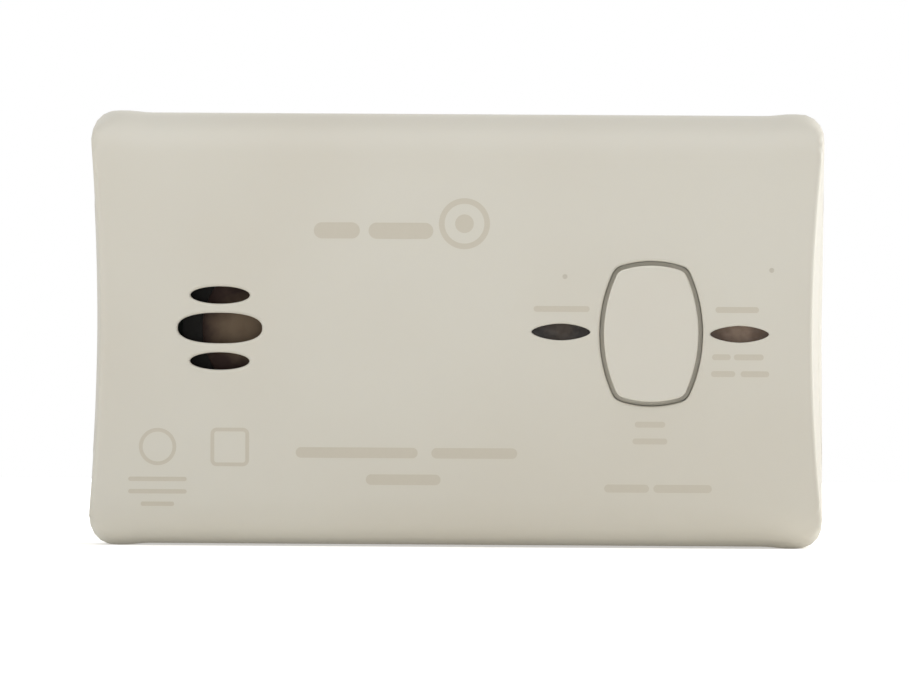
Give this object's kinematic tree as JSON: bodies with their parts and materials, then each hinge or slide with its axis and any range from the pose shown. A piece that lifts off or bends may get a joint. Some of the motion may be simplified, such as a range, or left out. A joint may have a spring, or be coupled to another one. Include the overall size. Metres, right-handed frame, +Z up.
{
  "type": "carbon monoxide alarm",
  "caption": "Flat cream battery alarm case with oval vents, two lens-shaped lamp slots, a barrel-shaped test button, a hinged battery door and keyholes behind.",
  "frame": {"origin": "centre of the flat base's level, in the middle of the case's width and depth", "axes": "+Z up, +X to the right seen from the front, -Y out of the face, +Y towards the wall"},
  "size_m": [0.118, 0.038, 0.07],
  "materials": {
    "case_plastic": "warm cream moulded ABS, fine satin texture",
    "label_film": "blank printed polyester film",
    "black_plastic": "black moulded plastic",
    "plated_metal": "nickel plated strip",
    "zinc_screw": "bright zinc plated screw",
    "board_laminate": "green solder mask over glass laminate",
    "lamp_green": "tinted clear epoxy",
    "lamp_red": "tinted clear epoxy",
    "window_smoke": "smoke tinted acrylic",
    "window_rose": "rose brown tinted acrylic",
    "brass_sheet": "rolled brass",
    "piezo_ceramic": "silvered piezo ceramic",
    "filter_paper": "white porous membrane",
    "chip_plastic": "moulded epoxy",
    "chip_ceramic": "multilayer ceramic chip",
    "capacitor_sleeve": "shrunk sleeve",
    "ferrite": "sintered ferrite",
    "copper_wire": "enamelled copper wire",
    "cell_sleeve": "plain printed sleeve",
    "lead_red_pvc": "red PVC",
    "lead_black_pvc": "black PVC"
  },
  "bodies": {
    "root": {"front_cover": "case_plastic", "rear_cover": "case_plastic", "switch_body": "black_plastic", "switch_plate": "plated_metal", "switch_legs": "plated_metal", "circuit_board": "board_laminate", "lamp_operate": "lamp_green", "lamp_alarm": "lamp_red", "lamp_legs": "plated_metal", "window_operate": "window_smoke", "window_alarm": "window_rose", "sounder_housing": "black_plastic", "sounder_ring": "black_plastic", "sounder_disc": "brass_sheet", "sounder_ceramic": "piezo_ceramic", "sensor_can": "plated_metal", "sensor_cap": "black_plastic", "sensor_filter": "filter_paper", "sensor_pins": "brass_sheet", "microcontroller": "chip_plastic", "microcontroller_legs": "plated_metal", "crystal": "plated_metal", "electrolytic_capacitors": "capacitor_sleeve", "inductor_core": "ferrite", "inductor_winding": "copper_wire", "transistors": "chip_plastic", "chip_resistors": "chip_plastic", "chip_capacitors": "chip_ceramic", "battery_1": "cell_sleeve", "battery_2": "cell_sleeve", "battery_3": "cell_sleeve", "battery_springs": "plated_metal", "contact_link_left": "plated_metal", "contact_link_right": "plated_metal", "contact_positive": "plated_metal", "contact_negative": "plated_metal", "lead_red": "lead_red_pvc", "lead_black": "lead_black_pvc", "case_screws": "zinc_screw", "board_screws": "zinc_screw"},
    "door": {"battery_door": "case_plastic", "rating_label": "label_film"},
    "button": {"test_button": "case_plastic"},
    "plunger": {"switch_plunger": "black_plastic"}
  },
  "joints": [
    {"name": "door_hinge", "type": "hinge", "parent": "root", "child": "door", "pos_m": [0, 0.0177, 0.0611], "axis": [1, 0, 0], "range_deg": [0, 95]},
    {"name": "button_press", "type": "slide", "parent": "root", "child": "button", "axis": [0, 1, 0], "range_m": [0, 0.0005], "stiffness_N_per_m": 1200, "springref_m": -0.0003},
    {"name": "plunger_press", "type": "slide", "parent": "root", "child": "plunger", "axis": [0, 1, 0], "range_m": [0, 0.0005]}
  ],
  "couplings": [
    {"joint": "plunger_press", "follows": "button_press", "ratio": 1}
  ]
}
